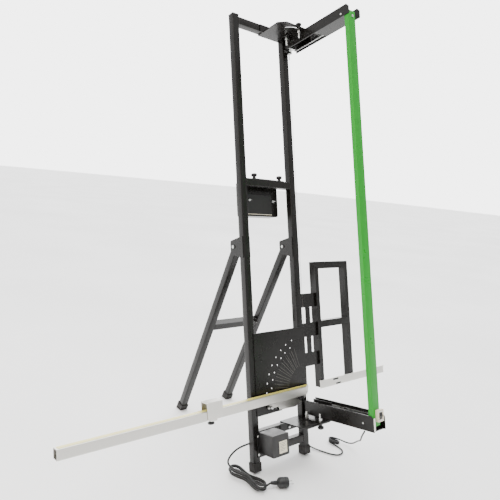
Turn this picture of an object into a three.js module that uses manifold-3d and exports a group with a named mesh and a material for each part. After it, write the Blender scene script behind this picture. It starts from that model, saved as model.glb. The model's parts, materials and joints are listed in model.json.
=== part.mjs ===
// Free-standing hot-wire cutter for insulation boards: a leaning tube frame on folding rear legs,
// a swivelling and sliding cutting bow, a tilting guide rail with an index plate, a side board
// support, and a low-voltage transformer with its mains lead and its lead to the bow.
// Millimetres, +Z up. The machine is drawn upright in its own axes (X along the frame, Y to the
// back, Z along the uprights) and then leaned back as one nested group.
import * as THREE from "three";
import { mergeVertices } from "three/addons/utils/BufferGeometryUtils.js";
import Module from "manifold-3d";

const wasm = await Module();
wasm.setup();

// Driving dimensions.
const LEAN = 14;
const GAP = 0.3;
const TUBE = 30;
const WALL = 1.5;
const FRAME_WIDTH = 290;
const UPRIGHT_TOP = 1785;
const CROSS_TUBES = { low_tube_lower: 51, low_tube_upper: 117, mid_tube: 1098, top_tube: 1749 };
const LEG_HINGE = [62, 860];
const LEG_ANGLE = 34.8;
const LEG_LENGTH = 885;
const LEG_CROSSBAR = 395;
const CATCH_PIVOT = [-24, -395];
const SWIVEL = [257, -30];
const LOCK_RADIUS = 75;
const SWIVEL_RANGE = 45;
const BOW_FRONT = -356;
const WIRE = [300, 5];
const WIRE_SPAN = [215.3, 1666.7];
const RAIL_PIVOT = [284, 272];
const RAIL_LEFT = -727;
const RAIL_RIGHT = 290;
const INDEX_OUTER = { radius: 208, angles: [-11.4, 3, 13, 23, 33, 43, 53, 62, 72] };
const INDEX_INNER = { radius: 184, angles: [8, 18, 27, 37, 47, 56, 66] };
const MAINS_RADIUS = 3.5;
const LEAD_RADIUS = 3;
// Moves the origin to the middle of the footprint, at floor level.
const STAND_SHIFT = [-38.5, -148, 0];
const FOOT_LIFT = 33 * Math.sin(THREE.MathUtils.degToRad(LEAN));

const FINISHES = {
  black_paint: ["#1d1b1a", 0.25, 0.1],
  green_paint: ["#35a62c", 0.35, 0.05],
  aluminium: ["#c9c8c4", 0.35, 0.9],
  zinc: ["#c4c6c6", 0.3, 0.9],
  black_plastic: ["#161616", 0.5, 0],
  beige_plastic: ["#d9d0bd", 0.55, 0],
  rubber: ["#221d1a", 0.75, 0],
  wire: ["#8b8c8e", 0.3, 1],
  cable: ["#232323", 0.6, 0],
};
const MATERIALS = {};
for (const [name, [color, roughness, metalness]] of Object.entries(FINISHES)) {
  MATERIALS[name] = new THREE.MeshStandardMaterial({ name, color, roughness, metalness });
}

const root = new THREE.Group();
const stand = new THREE.Group();
stand.position.set(STAND_SHIFT[0], STAND_SHIFT[1], STAND_SHIFT[2] + FOOT_LIFT);
root.add(stand);
const machine = new THREE.Group();
machine.rotation.x = -THREE.MathUtils.degToRad(LEAN);
stand.add(machine);
// Cords lie in floor axes: z is counted from the floor.
const floor = new THREE.Group();
floor.position.z = -FOOT_LIFT;
stand.add(floor);
const legs = new THREE.Group();
legs.position.set(0, LEG_HINGE[0], LEG_HINGE[1]);
legs.rotation.x = THREE.MathUtils.degToRad(LEG_ANGLE);
machine.add(legs);

function add(name, geometry, finish, parent = machine) {
  const mesh = new THREE.Mesh(geometry, MATERIALS[finish]);
  mesh.name = name;
  parent.add(mesh);
  return mesh;
}

function box(x0, x1, y0, y1, z0, z1) {
  const geometry = new THREE.BoxGeometry(x1 - x0, y1 - y0, z1 - z0);
  geometry.translate((x0 + x1) / 2, (y0 + y1) / 2, (z0 + z1) / 2);
  return geometry;
}

// A straight-sided outline, or one with its corners rounded by r.
function outline(points, r = 0) {
  const shape = new THREE.Shape();
  points.forEach((point, i) => {
    const before = new THREE.Vector2(...points[(i + points.length - 1) % points.length]);
    const here = new THREE.Vector2(...point);
    const after = new THREE.Vector2(...points[(i + 1) % points.length]);
    if (r === 0) {
      shape[i === 0 ? "moveTo" : "lineTo"](here.x, here.y);
      return;
    }
    const start = here.clone().add(before.sub(here).setLength(r));
    const end = here.clone().add(after.sub(here).setLength(r));
    shape[i === 0 ? "moveTo" : "lineTo"](start.x, start.y);
    shape.quadraticCurveTo(here.x, here.y, end.x, end.y);
  });
  return shape;
}

function rectangle(u0, u1, v0, v1, r = 0) {
  return outline([[u0, v0], [u1, v0], [u1, v1], [u0, v1]], r);
}

function withHoles(shape, holes) {
  for (const [u, v, r] of holes) {
    shape.holes.push(new THREE.Path().absarc(u, v, r, 0, 2 * Math.PI, true));
  }
  return shape;
}

// Extrudes an outline between two positions on an axis. The outline's two coordinates are
// (y, z) on the x axis, (x, z) on the y axis and (x, y) on the z axis.
function extrude(shape, axis, from, to, curveSegments = 4) {
  const depth = to - from;
  const geometry = new THREE.ExtrudeGeometry(shape, { depth, bevelEnabled: false, curveSegments });
  if (axis === "x") {
    const cycle = new THREE.Matrix4().set(0, 0, 1, from, 1, 0, 0, 0, 0, 1, 0, 0, 0, 0, 0, 1);
    geometry.applyMatrix4(cycle);
  } else if (axis === "y") {
    geometry.rotateX(Math.PI / 2);
    geometry.translate(0, to, 0);
  } else {
    geometry.translate(0, 0, from);
  }
  return geometry;
}

// A round piece whose profile is [radius, position] pairs in rising order along an axis.
function turned(profile, axis, u, v, segments = 16) {
  const points = profile.map(([r, at]) => new THREE.Vector2(r, at));
  const geometry = new THREE.LatheGeometry(points, segments);
  if (axis === "z") {
    geometry.rotateX(Math.PI / 2);
    geometry.translate(u, v, 0);
  } else if (axis === "x") {
    geometry.rotateZ(-Math.PI / 2);
    geometry.translate(0, u, v);
  } else {
    geometry.translate(u, 0, v);
  }
  return geometry;
}

function prism(axis, u, v, radius, from, to, sides = 12) {
  return turned([[0, from], [radius, from], [radius, to], [0, to]], axis, u, v, sides);
}

function solid(geometry) {
  const bare = geometry.clone();
  bare.deleteAttribute("normal");
  bare.deleteAttribute("uv");
  const merged = mergeVertices(bare, 1e-3);
  const index = Array.from(merged.index.array);
  const faces = [];
  for (let i = 0; i < index.length; i += 3) {
    const [a, b, c] = index.slice(i, i + 3);
    if (a !== b && b !== c && c !== a) {
      faces.push(a, b, c);
    }
  }
  const vertProperties = new Float32Array(merged.attributes.position.array);
  const triVerts = new Uint32Array(faces);
  return new wasm.Manifold(new wasm.Mesh({ numProp: 3, vertProperties, triVerts }));
}

function fromSolid(body) {
  const mesh = body.getMesh();
  const geometry = new THREE.BufferGeometry();
  geometry.setAttribute("position", new THREE.BufferAttribute(mesh.vertProperties, 3));
  geometry.setIndex(new THREE.BufferAttribute(mesh.triVerts, 1));
  geometry.computeVertexNormals();
  return geometry;
}

function join(first, ...others) {
  return fromSolid(others.reduce((body, other) => body.add(solid(other)), solid(first)));
}

function cut(first, ...tools) {
  return fromSolid(tools.reduce((body, tool) => body.subtract(solid(tool)), solid(first)));
}

function squareTube(axis, u0, u1, v0, v1, from, to, wall = WALL) {
  const shape = rectangle(u0, u1, v0, v1);
  shape.holes.push(rectangle(u0 + wall, u1 - wall, v0 + wall, v1 - wall));
  return extrude(shape, axis, from, to);
}

// A bent round cord through hand-placed points.
function cord(points, radius, steps) {
  const stops = points.map((p) => new THREE.Vector3(...p));
  const path = new THREE.CatmullRomCurve3(stops, false, "centripetal");
  const shape = new THREE.Shape().absarc(0, 0, radius, 0, 2 * Math.PI, false);
  return new THREE.ExtrudeGeometry(shape, { steps, extrudePath: path, curveSegments: 5 });
}

// A point given on the leaning machine, in floor axes.
function onFloor(x, y, z) {
  const lean = THREE.MathUtils.degToRad(LEAN);
  return [x, y * Math.cos(lean) + z * Math.sin(lean), z * Math.cos(lean) - y * Math.sin(lean) + FOOT_LIFT];
}

// Two square-tube uprights with plastic caps and cup-shaped rubber feet.
function uprights() {
  for (const [side, x] of [["left", 0], ["right", FRAME_WIDTH - TUBE]]) {
    add(`upright_${side}`, squareTube("z", x, x + TUBE, 0, TUBE, 6.3, UPRIGHT_TOP), "black_paint");
    const head = box(x, x + TUBE, 0, TUBE, UPRIGHT_TOP + GAP, UPRIGHT_TOP + 3.3);
    const insert = box(x + 2, x + 28, 2, 28, UPRIGHT_TOP - 14, UPRIGHT_TOP + 1);
    add(`cap_${side}`, join(head, insert), "black_plastic");
    const cup = rectangle(x - 3, x + 33, -3, 33, 3);
    const pocket = box(x - GAP, x + TUBE + GAP, -GAP, TUBE + GAP, 6, 40);
    add(`foot_${side}`, cut(extrude(cup, "z", 0, 32, 2), pocket), "rubber");
  }
}

// Four square tubes welded between the uprights.
function crossTubes() {
  for (const [name, z] of Object.entries(CROSS_TUBES)) {
    const tube = squareTube("x", 0, TUBE, z, z + TUBE, TUBE + GAP, FRAME_WIDTH - TUBE - GAP);
    add(name, tube, "black_paint");
  }
}

// Flat angle brackets that carry the bow's swivels, each with a curved lock slot.
function bowBrackets() {
  const pivot = new THREE.Vector2(...SWIVEL);
  for (const [name, z0, tabFrom, tabTo] of [
    ["top_bracket", 1744.7, 1745, 1777],
    ["bottom_bracket", 147.3, 121, 151],
  ]) {
    const inner = FRAME_WIDTH - TUBE - GAP;
    const back = name === "top_bracket" ? 1748.7 : 151.3;
    const left = name === "top_bracket" ? 150 : 162;
    const plate = extrude(
      outline([[left, 29.7], [left, -94], [180, -118], [300, -118], [320, -98], [320, -GAP], [inner, -GAP],
        [inner, 29.7]]),
      "z", z0, back,
    );
    const tab = box(136, 184, -3.5, -GAP, tabFrom, tabTo);
    const web = box(left, 184, -3.5, -GAP, z0, back);
    const slot = lockSlot(pivot, z0 - 1, back + 1);
    const bore = prism("z", SWIVEL[0], SWIVEL[1], 4.3, z0 - 1, back + 1);
    add(name, cut(join(plate, tab, web), slot, bore), "black_paint");
  }
}

// The lock screw's curved slot, drawn as a thick arc about the swivel.
function lockSlot(pivot, from, to) {
  const start = THREE.MathUtils.degToRad(-90 - SWIVEL_RANGE);
  const end = THREE.MathUtils.degToRad(-90);
  const half = 4.6;
  const points = [];
  const steps = 10;
  const at = (radius, angle) => [pivot.x + radius * Math.cos(angle), pivot.y + radius * Math.sin(angle)];
  for (let i = 0; i <= steps; i += 1) {
    points.push(at(LOCK_RADIUS + half, start + ((end - start) * i) / steps));
  }
  for (let i = 1; i < 4; i += 1) {
    const turn = (Math.PI * i) / 4;
    const [x, y] = at(LOCK_RADIUS, end);
    points.push([x + half * Math.cos(end + turn), y + half * Math.sin(end + turn)]);
  }
  for (let i = steps; i >= 0; i -= 1) {
    points.push(at(LOCK_RADIUS - half, start + ((end - start) * i) / steps));
  }
  for (let i = 1; i < 4; i += 1) {
    const turn = Math.PI + (Math.PI * i) / 4;
    const [x, y] = at(LOCK_RADIUS, start);
    points.push([x + half * Math.cos(start + turn), y + half * Math.sin(start + turn)]);
  }
  return extrude(outline(points), "z", from, to);
}

// Quadrant plate with two arcs of index holes about the rail's pivot.
function indexPlate() {
  const holes = [[...RAIL_PIVOT, 4.3]];
  for (const { radius, angles } of [INDEX_OUTER, INDEX_INNER]) {
    for (const angle of angles) {
      const turn = THREE.MathUtils.degToRad(180 - angle);
      holes.push([RAIL_PIVOT[0] + radius * Math.cos(turn), RAIL_PIVOT[1] + radius * Math.sin(turn), 3]);
    }
  }
  const shape = outline([[30, 519], [30, 203], [150, 203], [150, 247], [294, 247], [294, 519]]);
  add("index_plate", extrude(withHoles(shape, holes), "y", -3, -GAP, 8), "black_paint");
}

// Accessory box hung by its lip from the middle tube, under two clamp knobs.
function accessoryBox() {
  const shell = extrude(rectangle(56, 236, 986, 1150, 10), "y", 60, 108, 3);
  const hollow = extrude(rectangle(59, 233, 989, 1170, 8), "y", 63, 105, 3);
  const lip = box(64, 228, 3, 64, 1128.3, 1130.3);
  const upstand = box(64, 228, 60, 63, 1110, 1130.3);
  const panel = box(72, 201, 57, 60.5, 993, 1075);
  const tub = cut(shell, hollow, box(50, 240, 50, 120, 1126, 1160));
  add("accessory_box", join(tub, upstand, lip, panel), "black_paint");
  for (const [side, x] of [["left", 80], ["right", 213]]) {
    const profile = [[0, 1130.6], [8, 1130.6], [6.5, 1136], [7, 1140], [12, 1142], [12, 1149], [9, 1152],
      [0, 1152]];
    add(`storage_knob_${side}`, turned(profile, "z", x, 15), "black_plastic");
  }
}

// Encapsulated transformer on a flat mounting plate across the lower tubes.
function transformer() {
  const base = extrude(rectangle(17, 118, 51, 142, 3), "y", -3, -GAP, 2);
  const body = extrude(rectangle(27, 108, 65, 145, 5), "y", -80, -2.5, 2);
  const glands = [62, 88].map((x) => turned([[0, -2], [7, -2], [7, 5], [4.8, 12], [0, 12]], "y", x, 99, 12));
  add("transformer", join(base, body, ...glands), "black_plastic");
}

// Rear legs: cheek brackets, bolts, two tubes with a crossbar, wedge feet and a transport catch.
function rearLegs() {
  const [hy, hz] = LEG_HINGE;
  for (const [side, x] of [["left", 0], ["right", FRAME_WIDTH - TUBE]]) {
    const cheek = outline([[4, 812], [4, 898], [hy + 22, hz + 25], [hy + 22, hz - 30]], 6);
    const channel = extrude(cheek, "x", x - 3.3, x + 33.3, 2);
    const gap = box(x - GAP, x + TUBE + GAP, -5, 30.3, 700, 1000);
    const throat = box(x - GAP, x + TUBE + GAP, 33.3, 200, 700, 1000);
    const bore = prism("x", hy, hz, 4.3, x - 10, x + 40);
    add(`hinge_bracket_${side}`, cut(channel, gap, throat, bore), "black_paint");
    const bolt = [[0, x - 9], [6.5, x - 9], [6.5, x - 3.6], [4, x - 3.6], [4, x + 33.6], [6.5, x + 33.6],
      [6.5, x + 40], [0, x + 40]];
    add(`hinge_bolt_${side}`, turned(bolt, "x", hy, hz, 12), "zinc");
    const tube = squareTube("z", x, x + TUBE, -15, 15, -LEG_LENGTH + 14, 14);
    add(`leg_${side}`, cut(tube, prism("x", 0, 0, 4.3, x - 10, x + 40)), "black_paint", legs);
    const slope = 18 * Math.tan(THREE.MathUtils.degToRad(LEG_ANGLE - LEAN));
    const sole = -LEG_LENGTH;
    const wedge = outline([[-18, sole + slope], [18, sole - slope], [18, sole + 34], [-18, sole + 34]]);
    const pocket = box(x - GAP, x + TUBE + GAP, -15.3, 15.3, -LEG_LENGTH + 13.7, -800);
    add(`leg_foot_${side}`, cut(extrude(wedge, "x", x - 3, x + 33), pocket), "rubber", legs);
  }
  const ends = [TUBE + GAP, FRAME_WIDTH - TUBE - GAP];
  const bar = squareTube("x", -15, 15, -LEG_CROSSBAR - 15, -LEG_CROSSBAR + 15, ...ends);
  const ear = box(214.5, 217.5, -32, -14, -404, -386);
  add("leg_crossbar", join(bar, ear, prism("x", ...CATCH_PIVOT, 2.4, 217, 226)), "black_paint", legs);
  const [cy, cz] = CATCH_PIVOT;
  const arm = extrude(outline([[cy + 7, cz + 2], [cy - 12, cz + 44], [cy - 28, cz + 46], [cy - 32, cz + 36],
    [cy - 27, cz + 27], [cy - 22, cz + 33], [cy - 17, cz + 31], [cy - 7, cz - 2]]), "x", 218, 224);
  const catchBody = join(arm, prism("x", cy, cz, 7.5, 218, 224, 16));
  add("leg_catch", cut(catchBody, prism("x", cy, cz, 3, 210, 230)), "zinc", legs);
}

// Swivelling guides: a plate under or over each bracket, with a web that carries the slide.
function guides() {
  for (const [end, z0, webFrom, webTo] of [["upper", 1740.4, 1704, 1741], ["lower", 151.6, 155, 216]]) {
    const plate = extrude(rectangle(243, 325, -122, -8, 9), "z", z0, z0 + 4, 3);
    const web = box(318.4, 321.4, -110, -10, webFrom, webTo);
    const bores = [[SWIVEL[0], SWIVEL[1]], [SWIVEL[0], SWIVEL[1] - LOCK_RADIUS]];
    const tools = bores.map(([x, y]) => prism("z", x, y, 4.3, z0 - 2, z0 + 6));
    add(`${end}_guide`, cut(join(plate, web), ...tools), "black_paint");
  }
}

// Swivel bolts and lock screws with mushroom knobs.
function swivelBolts() {
  const [x, y] = SWIVEL;
  const lockY = y - LOCK_RADIUS;
  const topPivot = [[0, 1707], [4, 1707], [4, 1732], [7, 1732], [7, 1740.1], [4, 1740.1], [4, 1749],
    [6.5, 1749], [6.5, 1754], [0, 1754]];
  add("pivot_bolt_top", turned(topPivot, "z", x, y, 12), "zinc");
  const lowPivot = [[0, 142], [6.5, 142], [6.5, 147], [4, 147], [4, 155.9], [7, 155.9], [7, 164], [4, 164],
    [4, 181], [0, 181]];
  add("pivot_bolt_bottom", turned(lowPivot, "z", x, y, 12), "zinc");
  const topLock = [[0, 1708], [4, 1708], [4, 1730], [6.5, 1730], [6.5, 1740.1], [4, 1740.1], [4, 1749],
    [8, 1749], [7, 1756], [12, 1759], [12, 1765], [8, 1768], [0, 1768]];
  add("lock_knob_top", turned(topLock, "z", x, lockY, 16), "black_plastic");
  const lowLock = [[0, 125], [9, 125], [12, 128], [12, 135], [7, 138], [8, 147], [4, 147], [4, 155.9],
    [6.5, 155.9], [6.5, 168], [4, 168], [4, 186], [0, 186]];
  add("lock_knob_bottom", turned(lowLock, "z", x, lockY, 16), "black_plastic");
}

// Three-part drawer slides; the innermost member belongs to the arm.
function slides() {
  for (const [end, z] of [["top", 1721.5], ["bottom", 193]]) {
    add(`slide_outer_${end}`, extrude(channel(321.7, 330.4, z, 16, 1.2), "y", -325, -10), "zinc");
    add(`slide_mid_${end}`, extrude(channel(323.6, 330.8, z, 14, 1.2), "y", -322, -13), "zinc");
  }
}

function channel(x0, x1, z, half, wall) {
  return outline([[x0, z - half], [x1, z - half], [x1, z - half + wall], [x0 + wall, z - half + wall],
    [x0 + wall, z + half - wall], [x1, z + half - wall], [x1, z + half], [x0, z + half]]);
}

// The bow: two channel arms, the green post, the wire and its anchors, and the switch.
function bow() {
  add("upper_arm", armBody(1700, 1739.8, -329), "black_paint");
  add("lower_arm", armBody(164, 220, -350), "black_paint");
  add("bow_post", squareTube("z", 273.3, 313.3, -351, -331, 182, 1717, 2), "green_paint");
  add("hot_wire", prism("z", WIRE[0], WIRE[1], 0.6, ...WIRE_SPAN, 6), "wire");
  const topBlock = box(273.3, 314, -20, -6, 1706, 1724);
  const topBead = prism("z", ...WIRE, 2.2, 1667, 1691, 8);
  const topAnchor = join(topBlock, box(292, 306, -7, 9, 1690, 1722), topBead);
  add("wire_anchor_top", topAnchor, "zinc");
  const lowBlock = box(273.3, 314, -20, -6, 190, 208);
  const lowAnchor = join(lowBlock, box(292, 306, -7, 9, 188, 205), prism("z", ...WIRE, 2.2, 204, 215, 8));
  add("wire_anchor_bottom", lowAnchor, "zinc");
  const shell = extrude(rectangle(288, 320, 198, 240, 2), "y", -363, -351.3, 2);
  add("switch_box", cut(shell, box(295, 311, -370, -353.5, 206, 232)), "beige_plastic");
  const rocker = outline([[-357.5, 208], [-363, 208.5], [-366.5, 219], [-365, 229.5], [-357.5, 230],
    [-356.5, 219]]);
  add("switch_rocker", extrude(rocker, "x", 295.5, 310.5), "black_plastic");
}

// An open-topped channel whose floor is cut away at the rear so that the slide can pass.
function armBody(z0, z1, floorFront) {
  const side = outline([[-6, z0], [-6, z1], [BOW_FRONT + 10, z1], [BOW_FRONT, z1 - 12], [BOW_FRONT, z0]]);
  const body = extrude(side, "x", 270, 336);
  const inside = box(273, 333, -400, 10, z0 + 3, z1 + 5);
  const rear = box(273, 333, -185, 10, z0 - 5, z0 + 5);
  const front = box(273, 333, -400, floorFront, z0 - 5, z0 + 5);
  const strap = box(271, 335, -200, -186, z0, z0 + 3);
  return join(cut(body, inside, rear, front), strap);
}

// Guide rail: an aluminium box profile mitred at the wire end, on a swing plate with its pin.
function rail() {
  const profile = rectangle(-46, -11, 252, 284, 2);
  profile.holes.push(rectangle(-43.8, -13.2, 254.2, 281.8));
  const bar = extrude(profile, "x", RAIL_LEFT, RAIL_RIGHT, 2);
  const position = bar.attributes.position;
  for (let i = 0; i < position.count; i += 1) {
    if (position.getX(i) > 0) {
      position.setX(i, RAIL_RIGHT + (position.getY(i) + 11) * 1.257);
    }
  }
  add("rail", bar, "aluminium");
  const [px, pz] = RAIL_PIVOT;
  const plate = outline([[111, 250], [131, 209], [217, 206], [273, 231], [284, 262], [284, 281],
    [111, 281]]);
  const swing = extrude(plate, "y", -10.7, -7.7);
  const lobe = prism("y", px, pz, 9, -10.7, -7.7, 20);
  const arm = extrude(rectangle(71, 125, 223, 239, 5), "y", -10.7, -7.7, 3);
  const pin = turned([[0, -10.7], [9, -10.7], [9, -3.3], [4, -3.3], [4, -GAP], [0, -GAP]], "y", px, pz);
  const [bx, bz] = indexBoltAt();
  const bores = [prism("y", bx, bz, 3, -20, -5), prism("y", 236, 240, 3.4, -20, -5)];
  add("rail_bracket", cut(join(swing, lobe, arm, pin), ...bores), "aluminium");
  const bolt = [[0, -29], [5, -29], [6.5, -27], [6.5, -20], [4.5, -18], [6, -14.2], [2.6, -14.2],
    [2.6, -3.5], [0, -3.5]];
  add("index_bolt", turned(bolt, "y", bx, bz), "zinc");
  const knob = [[0, -34], [8, -34], [10.5, -31], [10.5, -26], [6, -22], [6.5, -11], [3, -11], [3, -6],
    [0, -6]];
  add("rail_knob", turned(knob, "y", 236, 240), "black_plastic");
}

function indexBoltAt() {
  const turn = THREE.MathUtils.degToRad(180 - INDEX_OUTER.angles[0]);
  const { radius } = INDEX_OUTER;
  return [RAIL_PIVOT[0] + radius * Math.cos(turn), RAIL_PIVOT[1] + radius * Math.sin(turn)];
}

// Length stop: a box sleeve around the rail with a clamp knob beneath.
function lengthStop() {
  const sleeve = rectangle(-50, -7.7, 248.7, 313);
  sleeve.holes.push(rectangle(-46.3, -10.7, 251.7, 309.5));
  const block = extrude(sleeve, "x", -228, -165);
  const notch = [box(-300, -216, -60, 0, 240, 257), box(-190, -100, -60, 0, 240, 257)];
  const bore = prism("z", -203, -28.5, 3.4, 240, 255);
  add("stop_block", cut(block, ...notch, bore), "aluminium");
  const knob = [[0, 233], [10, 233], [13, 236], [13, 241], [7, 243], [8, 248.4], [3, 248.4], [3, 251.4],
    [0, 251.4]];
  add("stop_knob", turned(knob, "z", -203, -28.5), "black_plastic");
}

// Fixed side support: a welded frame, the plate that ties it to the upright, and its board ledge.
function sideSupport() {
  add("side_frame", sideFrame(), "black_paint");
  const comb = outline([[290.3, 655], [290.3, 597], [320, 597], [320, 530], [290.3, 530], [290.3, 472],
    [320, 472], [320, 405], [290.3, 405], [290.3, 349], [380.7, 349], [380.7, 405], [345, 405],
    [345, 472], [380.7, 472],
    [380.7, 530], [345, 530], [345, 597], [380.7, 597], [380.7, 655]]);
  add("side_bracket", extrude(comb, "y", 9, 13), "black_paint");
  const ledge = outline([[-3.5, 247], [-GAP, 247], [-GAP, 281], [-8, 281], [-8, 278], [-3.5, 278]]);
  add("side_ledge", extrude(ledge, "x", 373, 804), "aluminium");
}

function sideFrame() {
  const posts = [[381, 401], [570, 590]].map(([x0, x1]) => box(x0, x1, 0, 35, 249, 789));
  const bars = [[504, 533], [759, 789]].map(([z0, z1]) => box(400, 571, 0, 35, z0, z1));
  const hollows = [[381, 401], [570, 590]].map(([x0, x1]) => box(x0 + 2, x1 - 2, 2, 33, 200, 785));
  return cut(join(posts[0], posts[1], ...bars), ...hollows);
}

// Mains lead with its tied hank and plug, and the low-voltage lead to the bow.
function cords() {
  const mains = [onFloor(62, 12.4, 99), onFloor(61.5, 22, 99), onFloor(53, 35, 98.5), onFloor(38, 40, 98),
    onFloor(15, 40, 97), onFloor(-12, 40, 96), [-42, 60, 90], [-66, 60, 79], [-86, 58, 61], [-97, 56, 38],
    [-99, 54, 24], [-94, 49, 15]];
  add("mains_run", cord(mains, MAINS_RADIUS, 40), "cable", floor);
  const hank = extrude(hankOutline(-69, 44, -40, -92, 20), "z", 0.3, 24, 5);
  const loop = [[-66, 22, 20], [-69, 20, 40], [-67, 13, 58], [-61, 1, 60], [-57, -12, 44], [-55, -25, 20]];
  add("mains_hank", join(hank, cord(loop, MAINS_RADIUS, 14)), "cable", floor);
  const plug = add("plug", plugBody(), "black_plastic", floor);
  plug.position.set(-17.5, -79, 19.4);
  plug.rotation.z = THREE.MathUtils.degToRad(-26);
  const run = [onFloor(88, 12.4, 99), onFloor(88.5, 24, 99), onFloor(98, 36, 97), onFloor(120, 40, 93),
    onFloor(190, 40, 74), onFloor(250, 38.5, 51), onFloor(297, 38, 30), [318, 40, 12], [333, 16, 5],
    [350, -12, 3.4], [365, -42, 3.4], [386, -64, 3.4], [418, -64, 3.4], [446, -52, 3.4], [458, -34, 3.4],
    [457.5, -20.5, 3.4]];
  add("lead_run", cord(run, LEAD_RADIUS, 70), "cable", floor);
  add("lead_coil", extrude(hankOutline(443, 24, 452, -4, 15), "z", 0.3, 12, 5), "cable", floor);
  const rise = [[467.6, 1.4, 3.4], [474, 1, 3.4], [484, -12, 4], [497, -42, 13], [489, -66, 34],
    [465, -96, 60],
    [430, -130, 90], [390, -162, 118], [350, -194, 146], [314, -222, 176], [292, -240, 204],
    onFloor(283, -302, 154.7)];
  add("lead_rise", cord(rise, LEAD_RADIUS, 50), "cable", floor);
}

// A lying bundle's outline: two half circles joined by straight sides.
function hankOutline(x0, y0, x1, y1, r) {
  const along = Math.atan2(y1 - y0, x1 - x0);
  const shape = new THREE.Shape();
  shape.absarc(x0, y0, r, along + Math.PI / 2, along + (3 * Math.PI) / 2, false);
  shape.absarc(x1, y1, r, along - Math.PI / 2, along + Math.PI / 2, false);
  shape.closePath();
  return shape;
}

// Round earthed plug along +X: the cord's end, a stepped strain relief, the body and two pins.
function plugBody() {
  const profile = [[0, 0], [3.5, 0], [3.5, 22], [6, 24], [8, 44], [15, 50], [19, 56], [19, 82], [17.5, 88],
    [0, 88]];
  const body = turned(profile, "x", 0, 0, 16);
  const pins = [-9.5, 9.5].map((y) => prism("x", y, 0, 2.4, 87, 106, 10));
  return join(body, ...pins);
}

uprights();
crossTubes();
bowBrackets();
indexPlate();
accessoryBox();
transformer();
rearLegs();
guides();
swivelBolts();
slides();
bow();
rail();
lengthStop();
sideSupport();
cords();

export default root;
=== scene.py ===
import json
import math

import bpy
from mathutils import Matrix, Vector


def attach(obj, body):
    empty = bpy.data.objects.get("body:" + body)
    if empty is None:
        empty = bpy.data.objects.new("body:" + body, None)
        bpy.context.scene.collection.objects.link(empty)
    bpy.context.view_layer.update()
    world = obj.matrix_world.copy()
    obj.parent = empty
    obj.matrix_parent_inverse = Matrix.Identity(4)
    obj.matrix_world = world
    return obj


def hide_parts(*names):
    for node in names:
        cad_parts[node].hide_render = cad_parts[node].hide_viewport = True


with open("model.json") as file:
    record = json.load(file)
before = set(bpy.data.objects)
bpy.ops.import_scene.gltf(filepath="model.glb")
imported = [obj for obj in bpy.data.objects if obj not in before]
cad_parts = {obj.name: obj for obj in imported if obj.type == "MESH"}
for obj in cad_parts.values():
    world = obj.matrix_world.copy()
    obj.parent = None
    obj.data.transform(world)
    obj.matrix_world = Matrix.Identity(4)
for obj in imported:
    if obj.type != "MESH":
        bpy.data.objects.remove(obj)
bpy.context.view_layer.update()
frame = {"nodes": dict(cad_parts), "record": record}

nodes = frame["nodes"]

# The machine leans back 14 degrees on its rear legs. Pieces are laid out in the machine's own axes,
# in millimetres, and these three frames put them in place: the leaning machine, the rear legs, which
# turn about their hinge, and the floor, for the cords.
lean = math.radians(14)
shift = Matrix.Translation((-0.0385, -0.148, 0.0))
lift = Matrix.Translation((0.0, 0.0, 0.033 * math.sin(lean)))
millimetres = Matrix.Scale(0.001, 4)
machine = shift @ lift @ Matrix.Rotation(-lean, 4, "X") @ millimetres
legs = machine @ Matrix.Translation((0, 62, 860)) @ Matrix.Rotation(math.radians(34.8), 4, "X")
floor_mm = shift @ millimetres


def spot(x, y, z):
    return machine @ Matrix.Translation((x, y, z))


# Camera: low and to the front left, level with the middle of the machine, 35 mm lens.
camera = bpy.data.objects.new("camera", bpy.data.cameras.new("camera"))
camera.data.lens = 34.607
camera.data.sensor_width = 36
across = Vector((0.78874016, -0.6064093, 0.10078059))
up = Vector((0.00726544, 0.17312825, 0.98487249))
ahead = Vector((0.6146838, 0.77607627, -0.14095903))
turn = Matrix((across, up, -ahead)).transposed().to_4x4()
camera.matrix_world = Matrix.Translation((-1.16095, -1.397784, 1.089692)) @ turn
bpy.context.scene.collection.objects.link(camera)
bpy.context.scene.camera = camera


# Materials. Colours are given as sRGB hex; the surface texture is real relief in millimetres, read
# from object coordinates, so it keeps its size on every piece.
def linear(code):
    parts = [int(code[i : i + 2], 16) / 255 for i in (1, 3, 5)]
    return [c / 12.92 if c <= 0.04045 else ((c + 0.055) / 1.055) ** 2.4 for c in parts] + [1.0]


def add_node(tree, kind, links=(), **settings):
    node = tree.nodes.new(kind)
    for key, value in settings.items():
        if key in node.inputs.keys():
            node.inputs[key].default_value = value
        else:
            setattr(node, key, value)
    for target, source in links:
        tree.links.new(source, node.inputs[target])
    return node


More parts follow.
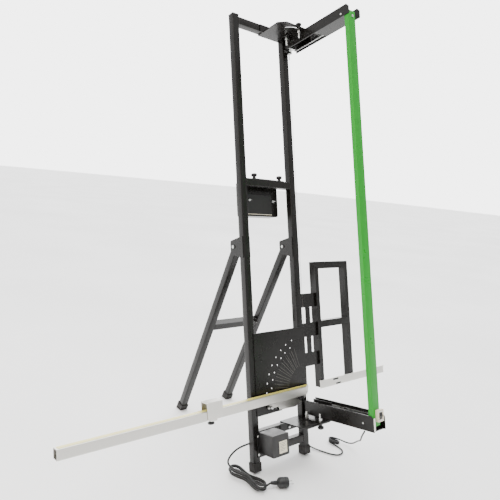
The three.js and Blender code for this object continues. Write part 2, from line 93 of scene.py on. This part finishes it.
def finish_of(name, colour, rough, metal=0.0, grain=1.5, relief=0.02, stretch=(1, 1, 1), coat=0.0,
              shine=0.5):
    made = bpy.data.materials.new(name)
    made.use_nodes = True
    tree = made.node_tree
    shader = tree.nodes["Principled BSDF"]
    place = add_node(tree, "ShaderNodeTexCoord")
    sized = add_node(tree, "ShaderNodeMapping", [("Vector", place.outputs["Object"])], Scale=stretch)
    fine = add_node(
        tree, "ShaderNodeTexNoise", [("Vector", sized.outputs["Vector"])], Scale=1000 / grain, Detail=3.0
    )
    broad = add_node(tree, "ShaderNodeTexNoise", [("Vector", sized.outputs["Vector"])],
                     Scale=1000 / (grain * 40), Detail=4.0)
    tone = add_node(tree, "ShaderNodeMapRange", [("Value", broad.outputs["Fac"])])
    tone.inputs["From Min"].default_value = 0.3
    tone.inputs["From Max"].default_value = 0.7
    tone.inputs["To Min"].default_value = rough * 0.75
    tone.inputs["To Max"].default_value = rough * 1.25
    tree.links.new(tone.outputs["Result"], shader.inputs["Roughness"])
    bump = add_node(tree, "ShaderNodeBump", [("Height", fine.outputs["Fac"])], Strength=1.0)
    bump.inputs["Distance"].default_value = relief / 1000
    tree.links.new(bump.outputs["Normal"], shader.inputs["Normal"])
    mix = add_node(tree, "ShaderNodeMix", [("Factor", broad.outputs["Fac"])], data_type="RGBA")
    mix.inputs["A"].default_value = linear(colour)
    mix.inputs["B"].default_value = [c * 0.82 for c in linear(colour)[:3]] + [1.0]
    tree.links.new(mix.outputs["Result"], shader.inputs["Base Color"])
    shader.inputs["Metallic"].default_value = metal
    shader.inputs["Specular IOR Level"].default_value = shine
    shader.inputs["Coat Weight"].default_value = coat
    shader.inputs["Coat Roughness"].default_value = 0.12
    return made


# Powder coat: sprayed epoxy-polyester baked on steel, with a fine orange peel.
black_paint = finish_of("steel_black_powder_coat", "#0f0d0b", 0.27, grain=1.8, relief=0.015, shine=0.32)
green_paint = finish_of("steel_green_powder_coat", "#128a1a", 0.36, grain=1.8, relief=0.03, shine=0.35)
# Mill-finished aluminium: die lines run along the extrusion.
aluminium = finish_of("aluminium_extruded_mill_finish", "#d8d6d0", 0.34, metal=1.0, grain=0.8,
                      relief=0.006, stretch=(0.01, 1, 1))
# Cold-rolled steel, bright zinc plated.
zinc = finish_of("steel_bright_zinc_plated", "#d3d4d2", 0.3, metal=1.0, grain=1.0, relief=0.008)
# Injection-moulded and cast plastics, rubbers and PVC jackets.
black_plastic = finish_of("polyamide_moulded_black", "#0c0c0c", 0.45, grain=0.6, relief=0.02)
case_plastic = finish_of("epoxy_filled_case_black", "#100f0e", 0.42, grain=0.8, relief=0.02)
beige_plastic = finish_of("abs_moulded_beige", "#d9cdb6", 0.5, grain=0.7, relief=0.02)
rubber = finish_of("rubber_moulded_black", "#15110f", 0.7, grain=0.5, relief=0.04)
jacket = finish_of("pvc_cord_jacket_black", "#0b0b0b", 0.45, grain=0.6, relief=0.02)
wire_metal = finish_of("nichrome_wire_drawn", "#8f8a84", 0.28, metal=1.0, grain=0.3, relief=0.003)
label_film = finish_of("polyester_label_printed", "#e4dcc6", 0.45, grain=3.0, relief=0.004)
tape_yellow = finish_of("steel_tape_lacquered_yellow", "#d9cd6a", 0.3, grain=2.0, relief=0.004, coat=0.3)
ink_black = finish_of("printing_ink_black", "#1a1a18", 0.5, grain=1.0, relief=0.002)
mark_grey = finish_of("steel_scribed_line_bright", "#5c5a54", 0.4, grain=1.0, relief=0.004)
catch_steel = finish_of("steel_catch_black_oxide", "#1d1b19", 0.4, metal=0.6, grain=0.8, relief=0.006)
sleeve_clear = finish_of("ptfe_strip_translucent_white", "#e6e6de", 0.4, grain=1.0, relief=0.004)


# Every made piece ends here: its mesh is put in place, given its finish, and rides its CAD body.
def make(name, verts, faces, place, material, body, stands_for=(), bevel=0.0, smooth=35):
    mesh = bpy.data.meshes.new(name)
    mesh.from_pydata([tuple(v) for v in verts], [], faces)
    mesh.transform(place)
    mesh.materials.append(material)
    mesh.polygons.foreach_set("use_smooth", [True] * len(mesh.polygons))
    mesh.update()
    mesh.set_sharp_from_angle(angle=math.radians(smooth))
    piece = bpy.data.objects.new(name, mesh)
    bpy.context.scene.collection.objects.link(piece)
    if bevel:
        edge = piece.modifiers.new("edge", "BEVEL")
        edge.width = bevel / 1000
        edge.segments = 3
        edge.angle_limit = math.radians(40)
        edge.harden_normals = True
    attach(piece, body)
    if stands_for:
        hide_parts(*stands_for)
    return piece


def turned(name, profile, place, material, body, stands_for=(), sides=56):
    verts, faces = [], []
    for radius, along in profile:
        for i in range(sides):
            angle = 2 * math.pi * i / sides
            verts.append((radius * math.cos(angle), radius * math.sin(angle), along))
    for k in range(len(profile) - 1):
        for i in range(sides):
            j = (i + 1) % sides
            faces.append((k * sides + i, k * sides + j, (k + 1) * sides + j, (k + 1) * sides + i))
    faces.append(tuple(reversed(range(sides))))
    faces.append(tuple(range((len(profile) - 1) * sides, len(profile) * sides)))
    return make(name, verts, faces, place, material, body, stands_for)


def rounded(u0, u1, v0, v1, radius, steps=5):
    points = []
    corners = [(u1 - radius, v1 - radius), (u0 + radius, v1 - radius), (u0 + radius, v0 + radius),
               (u1 - radius, v0 + radius)]
    for k, (u, v) in enumerate(corners):
        for i in range(steps + 1):
            angle = math.pi / 2 * (k + i / steps)
            points.append((u + radius * math.cos(angle), v + radius * math.sin(angle)))
    return points


# A rolled square tube: rounded outside, rounded bore, open ends. Its length runs along local Z.
def tube(name, u0, u1, v0, v1, low, high, wall, place, material, body, stands_for=(), radius=2.5):
    outer = rounded(u0, u1, v0, v1, radius)
    inner = rounded(u0 + wall, u1 - wall, v0 + wall, v1 - wall, max(radius - wall, 0.4))
    count = len(outer)
    verts = [(u, v, z) for ring, z in ((outer, low), (outer, high), (inner, low),
                                       (inner, high)) for u, v in ring]
    faces = []
    for i in range(count):
        j = (i + 1) % count
        faces.append((i, j, count + j, count + i))
        faces.append((2 * count + j, 2 * count + i, 3 * count + i, 3 * count + j))
        faces.append((j, i, 2 * count + i, 2 * count + j))
        faces.append((count + i, count + j, 3 * count + j, 3 * count + i))
    return make(name, verts, faces, place, material, body, stands_for)


def block(name, x0, x1, y0, y1, z0, z1, place, material, body, stands_for=(), bevel=0.4):
    verts = [(x, y, z) for x in (x0, x1) for y in (y0, y1) for z in (z0, z1)]
    faces = [(0, 1, 3, 2), (4, 6, 7, 5), (0, 4, 5, 1), (2, 3, 7, 6), (0, 2, 6, 4), (1, 5, 7, 3)]
    return make(name, verts, faces, place, material, body, stands_for, bevel=bevel)


along_x = Matrix(((0, 0, 1, 0), (1, 0, 0, 0), (0, 1, 0, 0), (0, 0, 0, 1)))
facing_y = Matrix.Rotation(-math.pi / 2, 4, "X")
to_front = Matrix.Rotation(math.pi / 2, 4, "X")
facing_x = Matrix.Rotation(math.pi / 2, 4, "Y")


# Cords. The mains lead (7 mm, PVC) leaves the back of the transformer, passes behind the left
# upright, comes down and is tied in a hank whose last turn ends in the plug. The low-voltage lead
# (6 mm) passes behind the right foot to a small coil and climbs to the front of the lower arm.
def on_floor(x, y, z):
    return tuple(floor_mm.inverted() @ (machine @ Vector((x, y, z))))


def racetrack(far, near, radius, waist, loops, low, high, steps=44, start=0.0, spread=0.0, wind=1):
    middle = [(a + b) / 2 for a, b in zip(far, near)]
    half = math.dist(far, near) / 2
    angle = math.atan2(far[1] - near[1], far[0] - near[0])
    points = []
    for i in range(int(loops * steps) + 1):
        s = (start + i / steps) % 1.0
        if s < 0.12 or s >= 0.88:
            fold = (s if s < 0.5 else s - 1.0) / 0.12 * math.pi / 2
            along, side = half + radius * math.cos(fold), radius * math.sin(fold)
        elif 0.38 <= s < 0.62:
            fold = (s - 0.38) / 0.24 * math.pi
            along, side = -half - radius * math.sin(fold), radius * math.cos(fold)
        else:
            run = (s - 0.12) / 0.26 if s < 0.5 else (0.88 - s) / 0.26
            along, side = half - 2 * half * run, math.copysign(radius, 0.5 - s)
        tight = 1 - spread * (0.5 + 0.5 * math.sin(2.4 * (start + i / steps)))
        side *= wind * tight * (1 - waist * math.exp(-((along / (half * 0.5)) ** 2)))
        along *= 0.6 + 0.4 * tight
        z = low + (high - low) * i / (loops * steps)
        x = middle[0] + along * math.cos(angle) - side * math.sin(angle)
        y = middle[1] + along * math.sin(angle) + side * math.cos(angle)
        points.append((x, y, z))
    return points


def smooth_path(points, per=8):
    spread = [Vector(p) for p in points]
    path = []
    for i in range(len(spread) - 1):
        a, b, c, d = (spread[max(i - 1, 0)], spread[i], spread[i + 1],
                      spread[min(i + 2, len(spread) - 1)])
        for k in range(per):
            t = k / per
            bend = 2 * a - 5 * b + 4 * c - d
            twist = 3 * b - a - 3 * c + d
            path.append(0.5 * (2 * b + (c - a) * t + bend * t * t + twist * t**3))
    path.append(spread[-1])
    return path


# A cord can't kink: the route is stepped every 5 mm and its tight spots are eased out.
def eased(path, step=5.0, rounds=10):
    even, carried = [path[0]], 0.0
    for a, b in zip(path, path[1:]):
        carried += (b - a).length
        if carried >= step:
            even.append(b)
            carried = 0.0
    even[-1] = path[-1]
    for _ in range(rounds):
        inner = [(a + 2 * b + c) / 4 for a, b, c in zip(even[1:], even[2:], even[3:])]
        even = even[:2] + inner + even[-1:]
    return even


def lay_cord(name, points, diameter, material, stands_for):
    path = [floor_mm @ p for p in eased(smooth_path(points, per=14))]
    curve = bpy.data.curves.new(name, "CURVE")
    curve.dimensions = "3D"
    curve.bevel_depth = diameter / 2
    curve.bevel_resolution = 5
    curve.use_fill_caps = True
    line = curve.splines.new("POLY")
    line.points.add(len(path) - 1)
    for point, at in zip(line.points, path):
        point.co = (*at, 1)
    line.use_smooth = True
    curve.materials.append(material)
    piece = bpy.data.objects.new(name, curve)
    bpy.context.scene.collection.objects.link(piece)
    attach(piece, "frame")
    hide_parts(*stands_for)
    return piece


plug_turn = Matrix.Rotation(math.radians(-26), 4, "Z")
plug_place = floor_mm @ Matrix.Translation((-17.5, -79, 19.4)) @ plug_turn
plug_profile = [(3.7, 22), (5.6, 23), (6.0, 24)]
for k in range(6):
    z = 25 + 3.2 * k
    plug_profile += [(6.2 + 0.3 * k, z), (6.2 + 0.3 * k, z + 1.8), (5.2 + 0.3 * k, z + 2.1),
                     (5.2 + 0.3 * k, z + 3.0)]
plug_profile += [(8.2, 45), (12, 47.5), (15.5, 50), (18, 53), (19, 57), (19, 70), (18.2, 71),
                 (18.2, 73), (19, 74), (19, 84), (18.4, 87), (17, 88)]
plug = turned("plug_body", plug_profile, plug_place @ facing_x, black_plastic, "frame",
              ["plug"])
for side in (-9.5, 9.5):
    pin_place = plug_place @ Matrix.Translation((0, side, 0)) @ facing_x
    turned("plug_pin", [(2.4, 87), (2.4, 104), (1.6, 106)], pin_place, zinc, "frame",
           sides=24)

mains = [on_floor(62, 12.4, 99), on_floor(61.5, 22, 99), on_floor(53, 35, 98.5), on_floor(38, 40, 98),
         on_floor(15, 40, 97), on_floor(-12, 40, 96), (-42, 60, 90), (-66, 60, 79), (-86, 58, 63),
         (-96, 54, 47)]
hank = racetrack((-69, 42), (-41, -88), 21, 0.78, 3.2, 36, 9.5, start=0.12, spread=0.14)
mains += hank + [(-60, -77, 7), (-52, -87, 5), (-40, -90, 4.5), (-27, -87, 6.5), (-16, -83.5, 11.5),
                 (-6, -84.5, 16.5), (3.5, -89.2, 19.4)]
lay_cord("mains_lead", mains, 0.007, jacket, ["mains_run", "mains_hank"])

lead = [on_floor(88, 12.4, 99), on_floor(88.5, 24, 99), on_floor(98, 36, 97), on_floor(120, 40, 93),
        on_floor(190, 40, 74), on_floor(250, 38.5, 51), on_floor(297, 38, 30), (318, 40, 12),
        (333, 16, 5.4), (350, -12, 3.8), (365, -42, 3.8), (386, -66, 3.8), (412, -68, 3.8),
        (434, -56, 3.8), (439, -36, 3.8)]
coil = racetrack((443, 24), (452, -4), 12.5, 0.0, 2.45, 3.8, 19, steps=24, start=0.66, wind=-1)
rise = [(468, 8, 18), (480, -8, 14), (489, -25, 11), (494, -44, 15), (486, -68, 33), (465, -96, 60),
        (430, -130, 90), (390, -162, 118), (350, -194, 146), (314, -222, 176), (292, -240, 204),
        on_floor(283, -302, 154.7)]
lay_cord("low_voltage_lead", lead + coil + rise, 0.006, jacket,
         ["lead_run", "lead_coil", "lead_rise"])

# Main frame: 30 mm square tube, welded, powder coated. Plastic caps close the uprights and rubber
# cups are pushed on their feet.
for side, x in (("left", 0), ("right", 260)):
    tube(f"upright_{side}_tube", x, x + 30, 0, 30, 6.3, 1785, 1.5, machine, black_paint, "frame",
         [f"upright_{side}"])
for name, z in (("low_tube_lower", 51), ("low_tube_upper", 117), ("mid_tube", 1098), ("top_tube", 1749)):
    tube(f"{name}_tube", 0, 30, z, z + 30, 30.1, 259.9, 1.5, machine @ along_x, black_paint, "frame",
         [name])
for side, x in (("left", 0), ("right", 260)):
    tube(f"leg_{side}_tube", x, x + 30, -15, 15, -871, 14, 1.5, legs, black_paint, "legs",
         [f"leg_{side}"])
tube("bow_post_tube", 273.3, 313.3, -351, -331, 182, 1717, 2, machine, green_paint, "bow",
     ["bow_post"])

# Every other CAD piece keeps its own shape, with its edges broken as the real ones are.
edges = {"black_paint": 0.7, "aluminium": 0.3, "zinc": 0.25, "black_plastic": 0.8, "beige_plastic": 0.8,
         "rubber": 1.5, "cable": 0.5, "wire": 0.0, "green_paint": 0.7}
coats = {"black_paint": black_paint, "green_paint": green_paint, "aluminium": aluminium,
         "zinc": zinc, "black_plastic": black_plastic, "beige_plastic": beige_plastic,
         "rubber": rubber, "cable": jacket, "wire": wire_metal}
for entry in frame["record"]["subparts"]:
    piece = nodes[entry["node"]]
    slot = entry["material_slot"]
    piece.data.materials.clear()
    own = {"transformer": case_plastic, "leg_catch": catch_steel}
    piece.data.materials.append(own.get(entry["node"], coats[slot]))
    if piece.hide_render or not edges[slot]:
        continue
    edge = piece.modifiers.new("edge", "BEVEL")
    edge.width = edges[slot] / 1000
    edge.segments = 3
    edge.angle_limit = math.radians(40)
    edge.harden_normals = True
    piece.data.polygons.foreach_set("use_smooth", [True] * len(piece.data.polygons))

# Clamp knobs: moulded mushroom heads on plated threaded stems.
mushroom = [(7.6, 0), (7.8, 0.6), (6.6, 4), (6.3, 6.5), (7.2, 9), (10.5, 10.4), (12, 11.6),
            (12.2, 13.5), (12, 17), (11, 19.4), (8.6, 21), (4, 21.6), (0.5, 21.7)]
for side, x in (("left", 80), ("right", 213)):
    turned(f"box_clamp_knob_{side}", [(r, 1130.6 + z) for r, z in mushroom], spot(x, 15, 0),
           black_plastic, f"box_knob_{side}", [f"storage_knob_{side}"])
flip = Matrix.Rotation(math.pi, 4, "X")
turned("stop_clamp_knob", mushroom, spot(-203, -28.5, 248.3) @ flip @ Matrix.Scale(0.72, 4, (0, 0, 1)),
       black_plastic, "stop_clamp", ["stop_knob"])
turned("stop_clamp_stem", [(3, -1), (3, 3.1)], spot(-203, -28.5, 248.3), zinc,
       "stop_clamp", sides=32)
turned("rail_clamp_knob", mushroom, spot(236, -11.2, 240) @ to_front,
       black_plastic, "rail_clamp", ["rail_knob"])
turned("top_lock_stud", [(3.4, 1708), (4, 1709), (4, 1730), (4, 1748.9)], spot(257, -105, 0),
       zinc, "top_lock", ["lock_knob_top"], sides=32)
turned("top_lock_nut", [(6.3, 1730), (7, 1730.8), (7, 1739.6), (6.3, 1740.2)],
       spot(257, -105, 0), zinc, "top_lock", sides=6)
turned("top_lock_head", [(r, 1749 + z * 0.88) for r, z in mushroom], spot(257, -105, 0),
       black_plastic, "top_lock")
turned("bottom_lock_stud", [(4, 146), (4, 185), (3.4, 186)], spot(257, -105, 0), zinc,
       "bottom_lock", ["lock_knob_bottom"], sides=32)
turned("bottom_lock_nut", [(6.3, 155.9), (7, 156.6), (7, 167.2), (6.3, 168)],
       spot(257, -105, 0), zinc, "bottom_lock", sides=6)
turned("bottom_lock_head", mushroom, spot(257, -105, 147) @ flip, black_plastic,
       "bottom_lock")

# Swivel bolts, hinge bolts and the index bolt: plated steel with hexagon or round heads.
turned("top_swivel_bolt", [(3.3, 1707), (4, 1708), (4, 1749)], spot(257, -30, 0), zinc,
       "frame", ["pivot_bolt_top"], sides=32)
for low, high in ((1732, 1740.1), (1749, 1754)):
    turned("top_swivel_hexagon", [(6.6, low), (7.3, low + 0.7), (7.3, high - 0.7), (6.6, high)],
           spot(257, -30, 0), zinc, "frame", sides=6)
turned("bottom_swivel_bolt", [(4, 142), (4, 180), (3.3, 181)], spot(257, -30, 0), zinc,
       "frame", ["pivot_bolt_bottom"], sides=32)
for low, high in ((142, 147), (155.9, 164), (165, 171)):
    turned("bottom_swivel_hexagon", [(6.6, low), (7.3, low + 0.7), (7.3, high - 0.7), (6.6, high)],
           spot(257, -30, 0), zinc, "frame", sides=6)
for side, x in (("left", 0), ("right", 260)):
    place = spot(0, 62, 860) @ facing_x
    turned(f"hinge_bolt_{side}_shank", [(4, x - 8), (4, x + 38), (3.3, x + 39.5)], place, zinc,
           "frame", [f"hinge_bolt_{side}"], sides=32)
    for low, high in ((x - 9, x - 3.6), (x + 33.6, x + 38)):
        turned(f"hinge_bolt_{side}_hexagon", [(6.2, low), (6.9, low + 0.6), (6.9, high - 0.6),
                                              (6.2, high)], place, zinc, "frame", sides=6)
index_at = (284 + 208 * math.cos(math.radians(191.4)), 272 + 208 * math.sin(math.radians(191.4)))
turned("index_bolt_body", [(4.2, -29), (5.2, -28.4), (6.4, -27), (6.4, -20.4), (4.6, -18.4),
                           (4.6, -16), (6, -15.8), (6, -14.2), (2.6, -14.1), (2.6, -4.2),
                           (1.9, -3.5)], spot(index_at[0], 0, index_at[1]) @ facing_y, zinc,
       "index_pin", ["index_bolt"], sides=40)

# The cutting wire: drawn resistance wire in a ceramic bead at each anchor.
turned("cutting_wire", [(0.5, 215.3), (0.5, 1666.7)], spot(300, 5, 0), wire_metal, "bow",
       ["hot_wire"], sides=12)

# Guide rail: a lacquered steel measuring tape is stuck on its upper face, with a mark at each
# millimetre, longer ones at 5 and 10. The strip is mitred with the rail at the wire end.
tape = [(-722, -40), (254, -40), (282, -17), (-722, -17)]
make("rail_tape", [(x, y, z) for z in (284.02, 284.3) for x, y in tape],
     [(3, 2, 1, 0), (4, 5, 6, 7), (0, 1, 5, 4), (1, 2, 6, 5), (2, 3, 7, 6), (3, 0, 4, 7)], machine,
     tape_yellow, "guide_rail")


def row_of_marks(name, count, step, first, mark, material, body):
    tree = bpy.data.node_groups.new(name, "GeometryNodeTree")
    for label, kind in (("Count", "NodeSocketInt"), ("Step", "NodeSocketFloat"),
                        ("Mark", "NodeSocketVector")):
        tree.interface.new_socket(label, in_out="INPUT", socket_type=kind)
    tree.interface.new_socket("Geometry", in_out="OUTPUT", socket_type="NodeSocketGeometry")
    given = tree.nodes.new("NodeGroupInput")
    result = tree.nodes.new("NodeGroupOutput")
    offset = add_node(tree, "ShaderNodeCombineXYZ", [("X", given.outputs["Step"])])
    line = add_node(tree, "GeometryNodeMeshLine", [("Count", given.outputs["Count"]),
                                                   ("Offset", offset.outputs["Vector"])])
    cube = add_node(tree, "GeometryNodeMeshCube", [("Size", given.outputs["Mark"])])
    spread = add_node(tree, "GeometryNodeInstanceOnPoints", [("Points", line.outputs["Mesh"]),
                                                             ("Instance", cube.outputs["Mesh"])])
    real = add_node(tree, "GeometryNodeRealizeInstances", [("Geometry", spread.outputs["Instances"])])
    painted = add_node(tree, "GeometryNodeSetMaterial", [("Geometry", real.outputs["Geometry"])],
                       Material=material)
    tree.links.new(painted.outputs["Geometry"], result.inputs["Geometry"])
    holder = bpy.data.objects.new(name, bpy.data.meshes.new(name + "_seed"))
    bpy.context.scene.collection.objects.link(holder)
    grown = holder.modifiers.new("marks", "NODES")
    grown.node_group = tree
    values = {"Count": count, "Step": step, "Mark": mark}
    for socket in tree.interface.items_tree:
        if socket.name in values:
            grown[socket.identifier] = values[socket.name]
    seen = holder.evaluated_get(bpy.context.evaluated_depsgraph_get())
    mesh = bpy.data.meshes.new_from_object(seen)
    holder.modifiers.remove(grown)
    holder.data = mesh
    mesh.transform(machine @ Matrix.Translation(first))
    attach(holder, body)
    return holder


row_of_marks("tape_marks_millimetre", 970, 1.0, (-720, -38, 284.32), (0.18, 3.5, 0.06), ink_black,
             "guide_rail")
row_of_marks("tape_marks_five", 194, 5.0, (-720, -37, 284.33), (0.22, 5.5, 0.06), ink_black,
             "guide_rail")
row_of_marks("tape_marks_ten", 97, 10.0, (-720, -35.5, 284.34), (0.3, 8.5, 0.06), ink_black,
             "guide_rail")

# Index plate: laser-cut steel sheet. A line scribed through the paint points at each index hole.
for angle in (3, 8, 13, 18, 23, 27, 33, 37, 43, 47, 53, 56, 62, 66, 72):
    place = spot(284, 0, 272) @ Matrix.Rotation(math.radians(angle), 4, "Y")
    block("index_scribed_line", -170, -92, -3.12, -2.98, -0.5, 0.5, place, mark_grey, "frame",
          bevel=0.0)

# The plate's left edge laps the upright, where it is welded.
block("index_plate_lap", 23, 30.6, -3, -0.1, 203, 519, machine, black_paint, "frame",
      bevel=0.4)

# Side ledge: extruded angle with two slots punched through its web. The slots are not cut: a thin black
# sheet on the web paints the shade seen in each opening.
for x0, x1, z0, z1 in ((452, 486, 269, 277), (470, 500, 249, 256)):
    block("ledge_slot_painted_shade", x0, x1, -3.62, -3.45, z0, z1, machine, black_plastic, "frame",
          bevel=0.05)

# Transformer: potted case with a printed rating label and four plated screws through its plate.
block("rating_label", 60, 98, -80.35, -79.95, 75, 119, machine, label_film, "frame",
      bevel=0.1)
for row, (start, end) in enumerate(((64, 94), (64, 88), (64, 92), (64, 80), (64, 90), (64, 84))):
    block("rating_label_line", start, end, -80.42, -80.34, 112 - 5.6 * row, 113.2 - 5.6 * row,
          machine, ink_black, "frame", bevel=0.0)
for x, z in ((21.5, 130), (21.5, 62), (113, 130), (113, 62)):
    turned("transformer_screw", [(4.4, 0), (4.4, 0.8), (3.4, 2.2), (1.2, 2.7), (0.3, 2.75)],
           spot(x, -3, z) @ to_front, zinc, "frame",
           sides=32)

# Bottom swivel bracket: a hexagon bolt holds its tab to the cross tube.
turned("bracket_bolt", [(5.8, 0), (5.8, 0.6), (5.6, 3.6), (4.6, 4.2)],
       spot(181, -3.5, 131) @ to_front, zinc, "frame",
       sides=6)

# Accessory box: a stuck-on label panel with a pale strip along its lower edge that is a painted
# highlight, and two plated wing screws.
block("box_panel", 72.5, 200.5, 56.5, 57, 995, 1074.5, machine, case_plastic, "frame",
      bevel=0.2)
block("box_panel_painted_highlight", 73, 200, 56.2, 57, 992.8, 994.8, machine, label_film, "frame",
      bevel=0.2)
for x in (83, 208):
    place = spot(x, 60, 1051) @ to_front
    turned("box_wing_screw", [(4.6, 0), (4.6, 5), (3.4, 6.5), (3.4, 9), (2.4, 9.6)], place, zinc,
           "frame", sides=32)
    block("box_wing", -8, 8, -1.1, 1.1, 5.5, 12, place, zinc, "frame", bevel=0.8)

# Bow: a bolt clamps the post in the upper arm, and rivets hold each drawer slide, whose inner member
# lies flat on its arm. A tension spring in the lower arm keeps the hot wire straight.
turned("post_bolt", [(5.8, 0), (5.8, 0.6), (5.6, 3.6), (4.6, 4.2)],
       spot(295, -351, 1696) @ to_front, zinc, "bow",
       sides=6)
for y, z in ((-307, 189), (-318, 1712)):
    turned("arm_rivet", [(3.6, 0), (3.4, 0.7), (2.4, 1.5), (0.4, 1.8)],
           spot(270, y, z) @ Matrix.Rotation(-math.pi / 2, 4, "Y"), zinc, "bow",
           sides=24)
for end, z in (("upper", 1721.5), ("lower", 193)):
    place = spot(0, 0, z)
    block(f"{end}_slide_inner_web", 331.6, 332.8, -320, -15, -11, 11, place, zinc, "bow",
          bevel=0.2)
    for side in (-1, 1):
        block(f"{end}_slide_inner_lip", 326.4, 331.8, -320, -15, min(10 * side, 11 * side),
              max(10 * side, 11 * side), place, zinc, "bow", bevel=0.2)
turns = [(300 + 4.5 * math.cos(t), -22 - t * 1.9, 199 + 4.5 * math.sin(t)) for t in
         [2 * math.pi * i / 20 for i in range(20 * 9)]]
spring = bpy.data.curves.new("wire_spring", "CURVE")
spring.dimensions = "3D"
spring.bevel_depth = 0.0006
spring.bevel_resolution = 3
spring.use_fill_caps = True
coil_line = spring.splines.new("POLY")
coil_line.points.add(len(turns) - 1)
for point, at in zip(coil_line.points, turns):
    point.co = (*(machine @ Vector(at)), 1)
spring.materials.append(zinc)
spring_piece = bpy.data.objects.new("wire_spring", spring)
bpy.context.scene.collection.objects.link(spring_piece)
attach(spring_piece, "bow")
block("arm_end_stop", 270.2, 279, -357, -356.2, 168, 214, machine, sleeve_clear, "bow",
      bevel=0.2)

# Switch: bright strips lie above and below the rocker on the beige box.
block("switch_frame", 291, 315, -363.8, -363, 202, 206, machine, zinc, "bow", bevel=0.2)
block("switch_frame", 291, 315, -363.8, -363, 232, 236, machine, zinc, "bow", bevel=0.2)

# Welds: a shallow bead runs down the front and the back of every tube joint.
for z in (51, 117, 1098, 1749):
    for x in (30, 260):
        for y in (0.3, 29.7):
            beads = []
            for k in range(11):
                beads.append((2.1 + 0.35 * math.sin(2.6 * k), z + 2 + 2.6 * k))
            turned("weld_bead", [(0.6, z + 1)] + beads + [(0.6, z + 29)], spot(x, y, 0),
                   black_paint, "frame", sides=12)

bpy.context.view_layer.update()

# Studio: a pale floor in a soft surround that is brightest behind the machine and dimmer in front of
# it, so that its front faces stay dark. A large warm lamp stands high on the left.
ground = bpy.data.objects.new("studio_floor", bpy.data.meshes.new("studio_floor"))
corners = [(-60, -60, -0.0006), (60, -60, -0.0006), (60, 60, -0.0006), (-60, 60, -0.0006)]
ground.data.from_pydata(corners, [], [(0, 1, 2, 3)])
ground.data.materials.append(finish_of("studio_floor_white_paper", "#ffffff", 0.8, grain=40.0,
                                       relief=0.01))
bpy.context.scene.collection.objects.link(ground)
world = bpy.data.worlds.new("studio")
world.use_nodes = True
sky = world.node_tree
ray = add_node(sky, "ShaderNodeTexCoord")
parts = add_node(sky, "ShaderNodeSeparateXYZ", [("Vector", ray.outputs["Generated"])])
back = add_node(sky, "ShaderNodeMapRange", [("Value", parts.outputs["Y"])],
                interpolation_type="SMOOTHSTEP")
right = add_node(sky, "ShaderNodeMapRange", [("Value", parts.outputs["X"])],
                 interpolation_type="SMOOTHSTEP")
left = add_node(sky, "ShaderNodeMapRange", [("Value", parts.outputs["X"])],
                interpolation_type="SMOOTHSTEP")
high = add_node(sky, "ShaderNodeMapRange", [("Value", parts.outputs["Z"])],
                interpolation_type="SMOOTHSTEP")
for ramp, low, top, weak, strong in ((back, -0.2, 0.4, 0.6, 4.6), (right, -0.45, 0.05, 0.2, 1.0),
                                     (left, -0.95, -0.45, 0.6, 0.3), (high, 0.6, 0.95, 0.0, 2.5)):
    ramp.inputs["From Min"].default_value = low
    ramp.inputs["From Max"].default_value = top
    ramp.inputs["To Min"].default_value = weak
    ramp.inputs["To Max"].default_value = strong
screen = add_node(sky, "ShaderNodeMath", operation="MULTIPLY")
sky.links.new(back.outputs["Result"], screen.inputs[0])
sky.links.new(right.outputs["Result"], screen.inputs[1])
first = add_node(sky, "ShaderNodeMath", operation="ADD")
sky.links.new(screen.outputs["Value"], first.inputs[0])
sky.links.new(left.outputs["Result"], first.inputs[1])
total = add_node(sky, "ShaderNodeMath", operation="ADD")
sky.links.new(first.outputs["Value"], total.inputs[0])
sky.links.new(high.outputs["Result"], total.inputs[1])
sky.links.new(total.outputs["Value"], sky.nodes["Background"].inputs["Strength"])
sky.nodes["Background"].inputs["Color"].default_value = (1, 1, 1, 1)
bpy.context.scene.world = world
lamp = bpy.data.objects.new("key", bpy.data.lights.new("key", "AREA"))
lamp.data.energy = 80
lamp.data.color = (1.0, 0.9, 0.78)
lamp.data.size = 2.4
lamp.location = (-3.2, -1.2, 2.8)
lamp.rotation_euler = (Vector((0, 0, 0.8)) - lamp.location).to_track_quat("-Z", "Y").to_euler()
bpy.context.scene.collection.objects.link(lamp)
